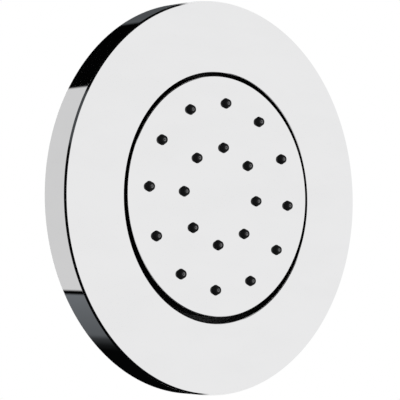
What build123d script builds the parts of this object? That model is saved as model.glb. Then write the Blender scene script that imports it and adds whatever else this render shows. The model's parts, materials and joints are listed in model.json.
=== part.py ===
from build123d import *
import os
from math import acos, asin, cos, degrees, radians, sin

# Flush shower body jet: a round spray head in a chromed wall cover, swivelling on a ball.
# The jet looks along -Y, +Z is up, and the origin is on the jet's axis in the plane of the wall.
# Turned pieces are drawn as (radius, y) profiles and spun about the Y axis. Sizes are in millimetres.

# Cover on the wall
COVER_DIAMETER = 120.0
COVER_DEPTH = 9.6  # wall to front face
COVER_SAG = 0.33  # how far the pushed-on cover hangs below the jet's axis
COVER_WALL = 2.0
CHAMFER_ACROSS = 0.48  # round the front edge, across the face
CHAMFER_BACK = 0.68  # and along the rim
COLLAR_WALL = 1.5  # lip turned in round the opening
COLLAR_DEPTH = 5.0  # front face to the end of the lip
EDGE_BREAK = 0.2  # on the edges of opening and spray plate

# Spray head
HEAD_GAP = 1.65  # all round, between cover and spray plate
HEAD_PROUD = 0.35  # spray plate ahead of the cover
PLATE_WALL = 1.4
SKIRT_WALL = 1.4
SKIRT_DEPTH = 5.4
INNER_CIRCLE = 29.8  # diameter through the inner nozzles
INNER_NOZZLES = 8
OUTER_CIRCLE = 57.2
OUTER_NOZZLES = 12
NOZZLE_BASE = 3.2
NOZZLE_TIP = 2.3
NOZZLE_REACH = 1.3  # ahead of the plate
NOZZLE_EDGE = 0.12
NOZZLE_OUTLET = 0.6
NOZZLE_INLET = 1.8
NOZZLE_ROOM = 0.05
MAT_WALL = 1.2
MAT_BORDER = 2.7  # outer nozzle circle to the mat's edge
BEAD_WIDTH = 1.1  # sealing bead round the mat
BEAD_HEIGHT = 0.6
CHAMBER_DEPTH = 2.4  # water space behind the mat
SHELL_WALL = 2.0
SHELL_FLANGE = 1.6
SHELL_ROOM = 0.2
SHELL_RIBS = 6
RIB_WALL = 1.6
RIB_RISE = 1.8

# Screws that hold the plate on its back shell
SCREW_COUNT = 6
SCREW_BAND = 3.95  # room for the bosses between mat and skirt
SCREW_INSET = 1.7  # skirt to screw
SCREW_DIAMETER = 2.0
SCREW_HEAD = 3.2
SCREW_HEAD_RISE = 1.2
SCREW_ROOM = 0.02
BOSS_DIAMETER = 3.8
BOSS_HEIGHT = 3.0

# Ball joint
BALL_DIAMETER = 16.0
BALL_BORE = 6.0
NECK_DIAMETER = 10.0
LINER_WALL = 1.2
BALL_ROOM = 0.06  # running clearance on each side of a liner
FRONT_LINER_ANGLES = (60.0, 84.0)  # from the front of the ball
REAR_LINER_ANGLES = (96.0, 127.0)
NUT_LIP_ANGLE = 131.0
SEAL_CORD = 1.8
SEAL_ANGLE = 45.0
LIP_WALL = 1.1  # ahead of the seal
LIP_STEP = 1.0  # of the lip into the chamber
LIP_RADIUS = 5.4
SOCKET_WALL = 2.6
NUT_WALL = 3.0
NUT_LIP = 2.0
NUT_GRIPS = 8
GRIP_DIAMETER = 5.0
GRIP_DEPTH = 1.0
THREAD_ROOM = 0.05
TILT = 5.0  # degrees each way, up and down as well as left and right
HEAD_ROOM = 0.6  # left round the head at full tilt

# How the head stands at rest
REST_UP = 0.4  # degrees
REST_LEFT = 0.7
REST_SPIN = 4.2  # clockwise, seen from the front

# Connector and what clamps on it
SHANK_DIAMETER = 24.0
HEX_SHOULDER = 3.0  # hexagon's flats past the shank
HEX_DEPTH = 5.0
SHANK_SPARE = 1.0  # shank showing behind the lock nut
INLET_THREAD = 20.955  # G 1/2
INLET_THREAD_LENGTH = 12.0
RELIEF_DEPTH = 1.2
RELIEF_WIDTH = 1.6
THREAD_CHAMFER = 1.0
CUP_WASHER_WALL = 1.5
LOCK_WASHER_WALL = 1.0
LOCK_WASHER_BORDER = 1.5  # past the nut's flats
LOCK_NUT_SHOULDER = 3.0  # nut's flats past the shank
LOCK_NUT_DEPTH = 6.0
SHANK_ROOM = 0.2

# Inlet bore, from its mouth inwards
INLET_BORE = 14.0
MOUTH_DEPTH = 8.0
FILTER_DEPTH = 2.4
FILTER_BORE = 9.2
MESH_DIAMETER = 10.6
MESH_WALL = 0.4
MESH_HOLE = 1.2
MESH_PITCH = 1.9
INSERT_ROOM = 0.05
REGULATOR_DEPTH = 5.0
REGULATOR_WALL = 1.3
REGULATOR_HUB = 4.0
REGULATOR_HUB_DEPTH = 4.4
REGULATOR_HOLES = 8
REGULATOR_HOLE = 1.2
REGULATOR_CORD = 1.6

# Cup in the wall recess
CUP_WALL = 2.0
COLLAR_ROOM = 0.5
MOULD_RADIUS = 0.4  # on the cup's corners
WELL_ROOM = 2.5  # wrench room round the hexagon
WELL_FLOOR = 2.6
GUSSETS = 8
GUSSET_WALL = 2.0
BITE = 0.4  # how far ribs run into the wall they stand on

# Ring that is screwed on the cup up to the wall and carries the cover
MOUNT_WALL = 2.0
MOUNT_ROOM = 0.4
MOUNT_BAND = 4.2  # outer band with the O-ring groove
MOUNT_RIBS = 12
RING_CORD = 2.4
RING_TOUCH = 0.02
GASKET_WALL = 1.5
GASKET_BAND = 8.0
GASKET_INSET = 0.5

# Radii and depths that follow from the sizes above
cover_radius = COVER_DIAMETER / 2
cover_inside = cover_radius - COVER_WALL
cover_front = -COVER_DEPTH
cover_wall_back = cover_front + COVER_WALL
mat_radius = OUTER_CIRCLE / 2 + MAT_BORDER
chamber_radius = mat_radius - BEAD_WIDTH
skirt_inside = mat_radius + SCREW_BAND
plate_radius = skirt_inside + SKIRT_WALL
opening_radius = plate_radius + HEAD_GAP
screw_circle = skirt_inside - SCREW_INSET

plate_front = cover_front - HEAD_PROUD
plate_back = plate_front + PLATE_WALL
skirt_back = plate_front + SKIRT_DEPTH
mat_back = plate_back + MAT_WALL
bead_back = mat_back + BEAD_HEIGHT
boss_back = plate_back + BOSS_HEIGHT
flange_back = boss_back + SHELL_FLANGE
chamber_back = mat_back + CHAMBER_DEPTH
shell_back = chamber_back + SHELL_WALL
shell_radius = skirt_inside - SHELL_ROOM
shell_step = mat_radius + SHELL_ROOM

ball_radius = BALL_DIAMETER / 2
liner_inside = ball_radius + BALL_ROOM
liner_outside = liner_inside + LINER_WALL
socket_radius = liner_outside + BALL_ROOM
lip_front = chamber_back - LIP_STEP
seal_front = lip_front + LIP_WALL
seal_reach = ball_radius + BALL_ROOM + SEAL_CORD / 2
seal_radius = seal_reach * sin(radians(SEAL_ANGLE))
seal_y = seal_front + BALL_ROOM + SEAL_CORD / 2
groove_radius = seal_radius + SEAL_CORD / 2 + BALL_ROOM
ball_y = seal_y + seal_reach * cos(radians(SEAL_ANGLE))

boss_radius = socket_radius + SOCKET_WALL
boss_end = ball_y + BALL_ROOM
nut_inside = boss_radius + THREAD_ROOM
nut_radius = nut_inside + NUT_WALL
nut_front = shell_back + HEAD_ROOM
nut_back = ball_y - socket_radius * cos(radians(NUT_LIP_ANGLE)) + NUT_LIP

# Room that the head sweeps with both tilts at their ends
full_tilt = acos(cos(radians(TILT)) ** 2)


def swept_back(radius, y):
    """How far back a point of the head comes at full tilt."""
    return ball_y + (y - ball_y) * cos(full_tilt) + radius * sin(full_tilt)


rib_inner = nut_radius + HEAD_ROOM
rib_back = shell_back + RIB_RISE
dish_front = HEAD_ROOM + max(
    swept_back(plate_radius, skirt_back),
    swept_back(screw_circle + SCREW_HEAD / 2, flange_back + SCREW_HEAD_RISE),
    swept_back(shell_step, shell_back),
    swept_back(rib_inner, rib_back),
)
dish_back = dish_front + CUP_WALL

hex_front = swept_back(nut_radius, nut_back) + HEAD_ROOM
hex_back = hex_front + HEX_DEPTH
hex_flats = SHANK_DIAMETER + 2 * HEX_SHOULDER
hex_corner = hex_flats / 2 / cos(radians(30))
well_front = hex_back + CUP_WASHER_WALL
well_back = well_front + WELL_FLOOR
well_inside = max(hex_corner + WELL_ROOM, nut_radius + (nut_back - ball_y) * sin(full_tilt) + HEAD_ROOM)
well_outside = well_inside + CUP_WALL
lock_washer_back = well_back + LOCK_WASHER_WALL
lock_nut_back = lock_washer_back + LOCK_NUT_DEPTH
lock_nut_flats = SHANK_DIAMETER + 2 * LOCK_NUT_SHOULDER
shank_radius = SHANK_DIAMETER / 2
shank_back = lock_nut_back + SHANK_SPARE
thread_radius = INLET_THREAD / 2
thread_front = shank_back + RELIEF_WIDTH
inlet_back = thread_front + INLET_THREAD_LENGTH
inlet_radius = INLET_BORE / 2
filter_back = inlet_back - MOUTH_DEPTH
filter_front = filter_back - FILTER_DEPTH
regulator_front = filter_front - REGULATOR_DEPTH
insert_radius = inlet_radius - INSERT_ROOM

cup_inside = opening_radius + COLLAR_WALL + COVER_SAG + COLLAR_ROOM
cup_outside = cup_inside + CUP_WALL
mount_inside = cup_outside + THREAD_ROOM
mount_collar = mount_inside + MOUNT_WALL
mount_front = cover_wall_back + MOUNT_ROOM
mount_back = -GASKET_WALL
web_front = mount_back - MOUNT_WALL
mount_radius = cover_inside - COVER_SAG - MOUNT_ROOM
band_inside = mount_radius - MOUNT_BAND
groove_y = (mount_front + mount_back) / 2
groove_half = RING_CORD / 2 + MOUNT_ROOM
groove_floor = cover_inside - COVER_SAG - RING_CORD
gasket_outside = cover_inside - COVER_SAG - GASKET_INSET

cover_place = Pos(0, 0, -COVER_SAG)
head_pose = (
    Pos(0, ball_y, 0)
    * Rot(0, 0, -REST_LEFT)
    * Rot(-REST_UP, 0, 0)
    * Rot(0, REST_SPIN, 0)
    * Pos(0, -ball_y, 0)
)


def spun(*outline):
    """Solid spun about the jet's axis from the lines and arcs of a closed (radius, y) outline."""
    return revolve(make_face(list(outline)), Axis.Y)


def turned(*corners):
    """Solid spun about the jet's axis from straight runs between (radius, y) corners."""
    return revolve(make_face(Polyline(*corners, close=True)), Axis.Y)


def moulded(*corners):
    """Solid spun about the jet's axis like a turned one, with every corner of its profile rounded."""
    profile = make_face(Polyline(*corners, close=True))
    return revolve(fillet(profile.vertices(), MOULD_RADIUS), Axis.Y)


def ring(inside, outside, front, back):
    """Plain ring, or a disc where the inside is 0."""
    return turned((inside, front), (outside, front), (outside, back), (inside, back))


def o_ring(radius, y, cord):
    """Round cord bent to a ring about the jet's axis."""
    section = Pos(radius, y) * Circle(cord / 2)
    return revolve(section, Axis.Y)


def at_ball(radius, angle):
    """Profile point about the ball's centre, at an angle from the front of the ball."""
    return (radius * sin(radians(angle)), ball_y - radius * cos(radians(angle)))


def ball_arc(radius, start, end):
    """Profile arc about the ball's centre between two angles from its front."""
    return ThreePointArc(at_ball(radius, start), at_ball(radius, (start + end) / 2), at_ball(radius, end))


def around(count, radius=0.0):
    """Places that share a circle about the jet's axis evenly."""
    return [Rot(0, 360 * i / count, 0) * Pos(radius, 0, 0) for i in range(count)]


def upright(wall, *corners):
    """Flat rib of one wall thickness, from (radius, y) corners, standing in the plane of the axis."""
    return extrude(make_face(Polyline(*corners, close=True)), wall / 2, both=True)


def hexagon(flats, front, back, bore):
    """Hexagon on the jet's axis with its corners chamfered on both faces and a round bore."""
    corner = flats / 2 / cos(radians(30))
    chamfer = (corner - flats / 2) * sin(radians(30))
    sides = extrude(Plane.XZ.offset(-back) * RegularPolygon(flats / 2, 6, major_radius=False), back - front)
    turned_corners = turned(
        (bore, front),
        (flats / 2, front),
        (corner, front + chamfer),
        (corner, back - chamfer),
        (flats / 2, back),
        (bore, back),
    )
    return sides & turned_corners


def escutcheon():
    """Hollow cover with its back open to the wall and a collar turned in round the opening."""
    return turned(
        (cover_radius, 0),
        (cover_radius, cover_front + CHAMFER_BACK),
        (cover_radius - CHAMFER_ACROSS, cover_front),
        (opening_radius + EDGE_BREAK, cover_front),
        (opening_radius, cover_front + EDGE_BREAK),
        (opening_radius, cover_front + COLLAR_DEPTH),
        (opening_radius + COLLAR_WALL, cover_front + COLLAR_DEPTH),
        (opening_radius + COLLAR_WALL, cover_wall_back),
        (cover_inside, cover_wall_back),
        (cover_inside, 0),
    )


def escutcheon_o_ring():
    """Friction ring between the mounting ring and the inside of the cover."""
    return o_ring(cover_inside - RING_CORD / 2, groove_y, RING_CORD - RING_TOUCH)


def mounting_cup():
    """Moulded cup: wall that the mounting ring screws on, dish behind the head and well round the hexagon."""
    shell = moulded(
        (cup_inside, mount_front),
        (cup_outside, mount_front),
        (cup_outside, dish_back),
        (well_outside, dish_back),
        (well_outside, well_back),
        (shank_radius + SHANK_ROOM, well_back),
        (shank_radius + SHANK_ROOM, well_front),
        (well_inside, well_front),
        (well_inside, dish_front),
        (cup_inside, dish_front),
    )
    gusset = upright(
        GUSSET_WALL,
        (well_outside - BITE, dish_back - BITE),
        (cup_outside - CUP_WALL, dish_back - BITE),
        (cup_outside - CUP_WALL, dish_back + BITE),
        (well_outside - BITE, well_back - WELL_FLOOR),
    )
    return shell + [place * gusset for place in around(GUSSETS)]


def mounting_ring():
    """Ring on the cup's thread: collar, ribbed web against the wall and a band with the O-ring groove."""
    shell = turned(
        (mount_inside, mount_front),
        (mount_collar, mount_front),
        (mount_collar, web_front),
        (band_inside, web_front),
        (band_inside, mount_front),
        (mount_radius, mount_front),
        (mount_radius, groove_y - groove_half),
        (groove_floor, groove_y - groove_half),
        (groove_floor, groove_y + groove_half),
        (mount_radius, groove_y + groove_half),
        (mount_radius, mount_back),
        (mount_inside, mount_back),
    )
    rib = upright(
        RIB_WALL,
        (mount_collar - BITE, web_front + BITE),
        (mount_collar - BITE, mount_front + BITE),
        (band_inside + BITE, mount_front + BITE),
        (band_inside + BITE, web_front + BITE),
    )
    return shell + [place * rib for place in around(MOUNT_RIBS)]


def wall_gasket():
    """Foam ring that seals the mounting ring to the wall."""
    return ring(gasket_outside - GASKET_BAND, gasket_outside, mount_back, 0)


def ball_connector():
    """Turned brass: bored ball and neck, hexagon, shank for the lock nut and inlet thread."""
    ball_start = degrees(asin(BALL_BORE / BALL_DIAMETER))
    ball_end = 180 - degrees(asin(NECK_DIAMETER / BALL_DIAMETER))
    neck_radius = NECK_DIAMETER / 2
    bore_radius = BALL_BORE / 2
    relief_radius = thread_radius - RELIEF_DEPTH
    stem = Polyline(
        at_ball(ball_radius, ball_end),
        (neck_radius, hex_front),
        (shank_radius, hex_front),
        (shank_radius, shank_back - THREAD_CHAMFER),
        (shank_radius - THREAD_CHAMFER, shank_back),
        (relief_radius, shank_back),
        (relief_radius, thread_front),
        (thread_radius, thread_front),
        (thread_radius, inlet_back - THREAD_CHAMFER),
        (thread_radius - THREAD_CHAMFER, inlet_back),
        (inlet_radius, inlet_back),
        (inlet_radius, regulator_front),
        (bore_radius, regulator_front),
        at_ball(ball_radius, ball_start),
    )
    core = spun(ball_arc(ball_radius, ball_start, ball_end), stem)
    return core + hexagon(hex_flats, hex_front, hex_back, neck_radius)


def cup_washer():
    """Fibre washer between the hexagon and the cup."""
    return ring(shank_radius + SHANK_ROOM, hex_flats / 2, hex_back, well_front)


def lock_washer():
    """Plain washer behind the cup."""
    outside = lock_nut_flats / 2 + LOCK_WASHER_BORDER
    return ring(shank_radius + SHANK_ROOM, outside, well_back, lock_washer_back)


def lock_nut():
    """Thin nut that clamps the cup on the connector's shank."""
    return hexagon(lock_nut_flats, lock_washer_back, lock_nut_back, shank_radius + THREAD_ROOM)


def flow_regulator():
    """Flow limiter: a cup with a hub for its O-ring and a circle of outlet holes."""
    hub_radius = REGULATOR_HUB / 2
    floor_back = regulator_front + REGULATOR_WALL
    body = turned(
        (0, regulator_front),
        (insert_radius, regulator_front),
        (insert_radius, filter_front),
        (insert_radius - REGULATOR_WALL, filter_front),
        (insert_radius - REGULATOR_WALL, floor_back),
        (hub_radius, floor_back),
        (hub_radius, regulator_front + REGULATOR_HUB_DEPTH),
        (0, regulator_front + REGULATOR_HUB_DEPTH),
    )
    hole_circle = (hub_radius + REGULATOR_CORD + insert_radius - REGULATOR_WALL) / 2
    hole = ring(0, REGULATOR_HOLE / 2, regulator_front, floor_back)
    return body - [place * hole for place in around(REGULATOR_HOLES, hole_circle)]


def regulator_o_ring():
    """Soft ring round the regulator's hub that narrows the way as pressure rises."""
    radius = (REGULATOR_HUB + REGULATOR_CORD) / 2
    floor_back = regulator_front + REGULATOR_WALL
    return o_ring(radius, floor_back + REGULATOR_CORD / 2, REGULATOR_CORD - RING_TOUCH)


def filter_washer():
    """Rubber washer at the inlet with a groove for the strainer."""
    mesh_front = (filter_front + filter_back - MESH_WALL) / 2
    groove = ring(0, MESH_DIAMETER / 2, mesh_front, mesh_front + MESH_WALL)
    return ring(FILTER_BORE / 2, insert_radius, filter_front, filter_back) - groove


def filter_mesh():
    """Perforated strainer disc, with rings of holes round its centre."""
    mesh_front = (filter_front + filter_back - MESH_WALL) / 2
    mesh_back = mesh_front + MESH_WALL
    disc = ring(0, MESH_DIAMETER / 2 - RING_TOUCH, mesh_front + RING_TOUCH, mesh_back - RING_TOUCH)
    hole = ring(0, MESH_HOLE / 2, mesh_front, mesh_back)
    places = [Pos(0, 0, 0)] + around(6, MESH_PITCH) + around(12, 2 * MESH_PITCH)
    return disc - [place * hole for place in places]


def nozzle_places():
    """Both circles of nozzles on the spray plate."""
    return around(INNER_NOZZLES, INNER_CIRCLE / 2) + around(OUTER_NOZZLES, OUTER_CIRCLE / 2)


def spray_plate():
    """Chromed face with a skirt, a hole for each nozzle and bosses for the screws."""
    cap = turned(
        (0, plate_front),
        (plate_radius - EDGE_BREAK, plate_front),
        (plate_radius, plate_front + EDGE_BREAK),
        (plate_radius, skirt_back),
        (skirt_inside, skirt_back),
        (skirt_inside, plate_back),
        (0, plate_back),
    )
    boss = ring(0, BOSS_DIAMETER / 2, plate_back - BITE, boss_back)
    pilot = ring(0, SCREW_DIAMETER / 2 + SCREW_ROOM, plate_back, boss_back)
    hole = ring(0, NOZZLE_BASE / 2 + NOZZLE_ROOM, plate_front, plate_back)
    screw_places = around(SCREW_COUNT, screw_circle)
    plate = cap + [place * boss for place in screw_places]
    plate -= [place * pilot for place in screw_places]
    return plate - [place * hole for place in nozzle_places()]


def nozzle_mat():
    """One silicone moulding: a disc with a sealing bead and a hollow tapered nozzle for each hole."""
    tip = plate_front - NOZZLE_REACH
    disc = turned(
        (0, plate_back),
        (mat_radius, plate_back),
        (mat_radius, bead_back),
        (chamber_radius, bead_back),
        (chamber_radius, mat_back),
        (0, mat_back),
    )
    nozzle = turned(
        (0, tip),
        (NOZZLE_TIP / 2 - NOZZLE_EDGE, tip),
        (NOZZLE_TIP / 2, tip + NOZZLE_EDGE),
        (NOZZLE_BASE / 2, plate_front),
        (NOZZLE_BASE / 2, mat_back),
        (0, mat_back),
    )
    channel = turned(
        (0, tip),
        (NOZZLE_OUTLET / 2, tip),
        (NOZZLE_OUTLET / 2, plate_front),
        (NOZZLE_INLET / 2, mat_back),
        (0, mat_back),
    )
    mat = disc + [place * nozzle for place in nozzle_places()]
    return mat - [place * channel for place in nozzle_places()]


def head_body():
    """Back shell of the head: chamber wall, screw flange, ribs and the socket for the ball."""
    groove_angle = degrees(asin(groove_radius / socket_radius))
    inside = Polyline(
        at_ball(socket_radius, groove_angle),
        (groove_radius, seal_front),
        (LIP_RADIUS, seal_front),
        (LIP_RADIUS, lip_front),
        (groove_radius + SHELL_WALL, lip_front),
        (groove_radius + SHELL_WALL, chamber_back),
        (chamber_radius, chamber_back),
        (chamber_radius, bead_back),
        (shell_step, bead_back),
        (shell_step, boss_back),
        (shell_radius, boss_back),
        (shell_radius, flange_back),
        (shell_step, flange_back),
        (shell_step, shell_back),
        (boss_radius, shell_back),
        (boss_radius, boss_end),
        (socket_radius, boss_end),
        (socket_radius, ball_y),
    )
    shell = spun(ball_arc(socket_radius, groove_angle, 90), inside)
    rib = upright(
        RIB_WALL,
        (rib_inner, shell_back - BITE),
        (rib_inner, rib_back),
        (shell_step, shell_back),
        (shell_step, shell_back - BITE),
    )
    screw_hole = ring(0, SCREW_DIAMETER / 2 + SHELL_ROOM, boss_back, flange_back)
    shell += [place * rib for place in around(SHELL_RIBS)]
    return shell - [place * screw_hole for place in around(SCREW_COUNT, screw_circle)]


def plate_screws():
    """Six pan-head screws, in from behind the shell's flange."""
    screw = turned(
        (0, plate_back),
        (SCREW_DIAMETER / 2, plate_back + SCREW_DIAMETER / 2),
        (SCREW_DIAMETER / 2, flange_back),
        (SCREW_HEAD / 2, flange_back),
        (SCREW_HEAD / 2, flange_back + SCREW_HEAD_RISE / 2),
        (SCREW_DIAMETER / 2, flange_back + SCREW_HEAD_RISE),
        (0, flange_back + SCREW_HEAD_RISE),
    )
    return Part() + [place * screw for place in around(SCREW_COUNT, screw_circle)]


def ball_seal():
    """O-ring between the head and the ball."""
    return o_ring(seal_radius, seal_y, SEAL_CORD)


def liner(angles):
    """Ring of a hollow ball between two angles from the front."""
    start, end = angles
    return spun(
        ball_arc(liner_inside, start, end),
        Line(at_ball(liner_inside, end), at_ball(liner_outside, end)),
        ball_arc(liner_outside, end, start),
        Line(at_ball(liner_outside, start), at_ball(liner_inside, start)),
    )


def ball_nut():
    """Ring nut over the socket, with a round seat for the rear liner and finger grips."""
    seat_front = boss_end + THREAD_ROOM
    seat_start = degrees(acos((ball_y - seat_front) / socket_radius))
    lip_radius = socket_radius * sin(radians(NUT_LIP_ANGLE))
    outside = Polyline(
        at_ball(socket_radius, NUT_LIP_ANGLE),
        (lip_radius, nut_back),
        (nut_radius - GRIP_DEPTH, nut_back),
        (nut_radius, nut_back - GRIP_DEPTH),
        (nut_radius, nut_front),
        (nut_inside, nut_front),
        (nut_inside, seat_front),
        at_ball(socket_radius, seat_start),
    )
    body = spun(ball_arc(socket_radius, seat_start, NUT_LIP_ANGLE), outside)
    grip = ring(0, GRIP_DIAMETER / 2, nut_front, nut_back)
    grip_circle = nut_radius + GRIP_DIAMETER / 2 - GRIP_DEPTH
    return body - [place * grip for place in around(NUT_GRIPS, grip_circle)]


def all_pieces():
    """Every piece by its name, the cover and the spray head as they stand at rest."""
    fixed = {
        "escutcheon": cover_place * escutcheon(),
        "escutcheon_o_ring": cover_place * escutcheon_o_ring(),
        "mounting_cup": mounting_cup(),
        "mounting_ring": mounting_ring(),
        "wall_gasket": wall_gasket(),
        "ball_connector": ball_connector(),
        "cup_washer": cup_washer(),
        "lock_washer": lock_washer(),
        "lock_nut": lock_nut(),
        "flow_regulator": flow_regulator(),
        "regulator_o_ring": regulator_o_ring(),
        "filter_washer": filter_washer(),
        "filter_mesh": filter_mesh(),
    }
    swivelling = {
        "front_liner": liner(FRONT_LINER_ANGLES),
        "rear_liner": liner(REAR_LINER_ANGLES),
        "spray_plate": spray_plate(),
        "nozzle_mat": nozzle_mat(),
        "head_body": head_body(),
        "plate_screws": plate_screws(),
        "ball_seal": ball_seal(),
        "ball_nut": ball_nut(),
    }
    return fixed | {name: head_pose * piece for name, piece in swivelling.items()}


def main():
    """Write every piece to its own file and print where the joints and the inlet are."""
    os.makedirs("parts", exist_ok=True)
    for name, piece in all_pieces().items():
        export_step(piece, os.path.join("parts", name + ".step"))
    print("ball centre y", round(ball_y, 4))
    print("inlet thread from", round(thread_front, 4), "to", round(inlet_back - THREAD_CHAMFER, 4))
    print("inlet mouth from", round(filter_back, 4), "to", round(inlet_back, 4))
    print("plate radius", round(plate_radius, 3), "opening radius", round(opening_radius, 3))
    print("cup dish", round(dish_front, 3), round(dish_back, 3))
    print("cup well", round(well_front, 3), round(well_back, 3))


main()
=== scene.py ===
"""Shower body jet: the visual model around its packed CAD frame, laid out as a Blender add-on."""

import json
from math import atan2, cos, hypot, pi, radians, sin, tau

import bmesh
import bpy
from bpy.props import FloatProperty, FloatVectorProperty, IntProperty, PointerProperty
from bpy.types import NodeSocket, Operator, Panel, PropertyGroup
from mathutils import Matrix, Vector


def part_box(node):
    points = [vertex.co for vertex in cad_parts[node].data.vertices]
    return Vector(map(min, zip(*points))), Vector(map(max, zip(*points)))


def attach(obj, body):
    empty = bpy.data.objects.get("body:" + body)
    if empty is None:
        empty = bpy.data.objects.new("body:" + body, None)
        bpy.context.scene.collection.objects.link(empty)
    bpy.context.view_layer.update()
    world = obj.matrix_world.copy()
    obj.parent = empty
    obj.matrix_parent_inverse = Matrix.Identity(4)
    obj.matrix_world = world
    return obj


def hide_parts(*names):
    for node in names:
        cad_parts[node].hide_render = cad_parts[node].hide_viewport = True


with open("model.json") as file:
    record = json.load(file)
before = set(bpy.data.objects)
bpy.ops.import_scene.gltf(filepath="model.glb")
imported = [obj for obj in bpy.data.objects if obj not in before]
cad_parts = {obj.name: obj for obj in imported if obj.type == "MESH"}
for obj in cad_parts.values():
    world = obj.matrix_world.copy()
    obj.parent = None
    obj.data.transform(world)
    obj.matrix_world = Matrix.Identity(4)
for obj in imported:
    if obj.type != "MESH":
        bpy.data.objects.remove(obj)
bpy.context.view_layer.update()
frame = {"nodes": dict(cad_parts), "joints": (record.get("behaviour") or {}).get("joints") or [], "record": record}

bl_info = {
    "name": "Shower Body Jet",
    "version": (1, 0, 0),
    "blender": (4, 5, 0),
    "location": "View3D > Sidebar > Body Jet",
    "description": "Models a flush shower body jet piece by piece and sets up its studio",
    "category": "Add Mesh",
}

MM = 0.001
SAME_PLACE = 2e-6
AXIS = (0.0, 1.0, 0.0)
WHITE = (1.0, 1.0, 1.0, 1.0)
BLACK = (0.0, 0.0, 0.0, 1.0)
# Attribute that marks where the nozzle tips get a painted highlight
TIP_HIGHLIGHT = "tip_wear"
SMOOTH_BELOW = radians(35.0)

# Roundings of polished and of moulded edges, and how far a feature is sunk into what it grows from
CRISP = 0.05 * MM
SOFT = 0.3 * MM
BITE = 0.4 * MM

# Shares of half a thread's pitch: the flat crest, and the flank down to the root
THREAD_CREST = 0.12
THREAD_FLANK = 0.74

cover_low, cover_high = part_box("escutcheon")
cup_low, cup_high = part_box("mounting_cup")
ring_low, ring_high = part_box("mounting_ring")
gasket_low, gasket_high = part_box("wall_gasket")
washer_low, washer_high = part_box("lock_washer")
nut_low, nut_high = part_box("lock_nut")
inlet_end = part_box("ball_connector")[1].y
filter_low, filter_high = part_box("filter_washer")
hexagon_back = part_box("cup_washer")[0].y
bore_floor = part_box("flow_regulator")[0].y
ball_place = frame["joints"][0]["pos_m"][1]


def position(name, about, default, **limits):
    """A place along the jet's axis, in metres from the wall."""
    return FloatProperty(name=name, description=about, default=default, precision=5, unit="LENGTH", **limits)


def length(name, about, default):
    """A length in metres."""
    return position(name, about, default, min=0.0)


def mm(name, about, default):
    """A length, given here in millimetres."""
    return length(name, about, default * MM)


def angle(name, about, default):
    """An angle, given here in degrees."""
    return FloatProperty(name=name, description=about, default=radians(default), subtype="ANGLE")


def level(name, about, default, unit="NONE"):
    """A strength, a power or a lens."""
    return FloatProperty(name=name, description=about, default=default, min=0.0, unit=unit)


def colour(name, about, default):
    """A colour."""
    limits = {"min": 0.0, "max": 1.0}
    return FloatVectorProperty(name=name, description=about, default=default, subtype="COLOR", **limits)


def count(name, about, default):
    """A number of like features."""
    return IntProperty(name=name, description=about, default=default, min=1)


class JetCoverSizes(PropertyGroup):
    """Sizes of the chromed wall cover."""

    radius: length("Radius", "Outside radius of the cover", cover_high.x)
    front: position("Front", "Front face, from the wall", cover_low.y)
    drop: length("Drop", "How far the cover hangs below the jet's axis", -(cover_low.z + cover_high.z) / 2)
    wall: mm("Wall", "Thickness of face and rim", 2.0)
    chamfer_across: mm("Chamfer across", "Edge chamfer, measured on the face", 0.48)
    chamfer_back: mm("Chamfer back", "Edge chamfer, measured on the rim", 0.68)
    opening: mm("Opening", "Radius of the opening for the spray head", 38.3)
    collar_wall: mm("Collar wall", "Thickness of the collar round the opening", 1.5)
    collar_depth: mm("Collar depth", "Front face to the end of the collar", 5.0)
    edge_break: mm("Edge break", "Broken edge round the opening", 0.2)


class JetHeadSizes(PropertyGroup):
    """Sizes of the spray head's face and of its nozzles, and how the head stands."""

    plate_radius: mm("Plate radius", "Outside radius of the spray plate", 36.65)
    plate_front: position("Plate front", "Front of the plate while it stands square", cover_low.y - 0.35 * MM)
    plate_wall: mm("Plate wall", "Thickness of the plate and its skirt", 1.4)
    skirt_depth: mm("Skirt depth", "Front of the plate to the end of its skirt", 5.4)
    edge_break: mm("Edge break", "Broken edge round the plate", 0.2)
    inner_circle: mm("Inner circle", "Radius through the inner nozzles", 14.9)
    inner_nozzles: count("Inner nozzles", "Nozzles on the inner circle", 8)
    outer_circle: mm("Outer circle", "Radius through the outer nozzles", 28.6)
    outer_nozzles: count("Outer nozzles", "Nozzles on the outer circle", 12)
    nozzle_base: mm("Nozzle base", "Radius of a nozzle where it leaves the plate", 1.6)
    nozzle_tip: mm("Nozzle tip", "Radius of a nozzle at its tip", 1.15)
    nozzle_reach: mm("Nozzle reach", "Height of a nozzle ahead of the plate", 1.299)
    nozzle_edge: mm("Nozzle edge", "Rounding of a nozzle's tip", 0.12)
    nozzle_outlet: mm("Nozzle outlet", "Radius of the water hole in the tip", 0.3)
    nozzle_inlet: mm("Nozzle inlet", "Radius of the water hole at the back", 0.9)
    hole_room: mm("Hole room", "Clearance round a nozzle in the plate", 0.05)
    mat_wall: mm("Mat wall", "Thickness of the nozzle mat", 1.2)
    mat_border: mm("Mat border", "Outer nozzle circle to the mat's edge", 2.7)
    bead_width: mm("Bead width", "Width of the mat's sealing bead", 1.1)
    bead_height: mm("Bead height", "Height of the mat's sealing bead", 0.6)
    screw_circle: mm("Screw circle", "Radius through the screw bosses", 33.55)
    screws: count("Screws", "Screw bosses behind the plate", 6)
    boss_radius: mm("Boss radius", "Outside radius of a screw boss", 1.9)
    boss_bore: mm("Boss bore", "Radius of the hole in a screw boss", 1.02)
    boss_height: mm("Boss height", "Height of a screw boss behind the plate", 3.0)
    ball_centre: position("Ball centre", "Centre of the ball that the head swivels on", ball_place)
    rest_up: angle("Up", "How far the head looks up at rest", 0.4)
    rest_left: angle("Left", "How far the head looks left at rest", 0.7)
    rest_spin: angle("Spin", "How far the head is spun at rest, clockwise from the front", 4.2)


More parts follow.
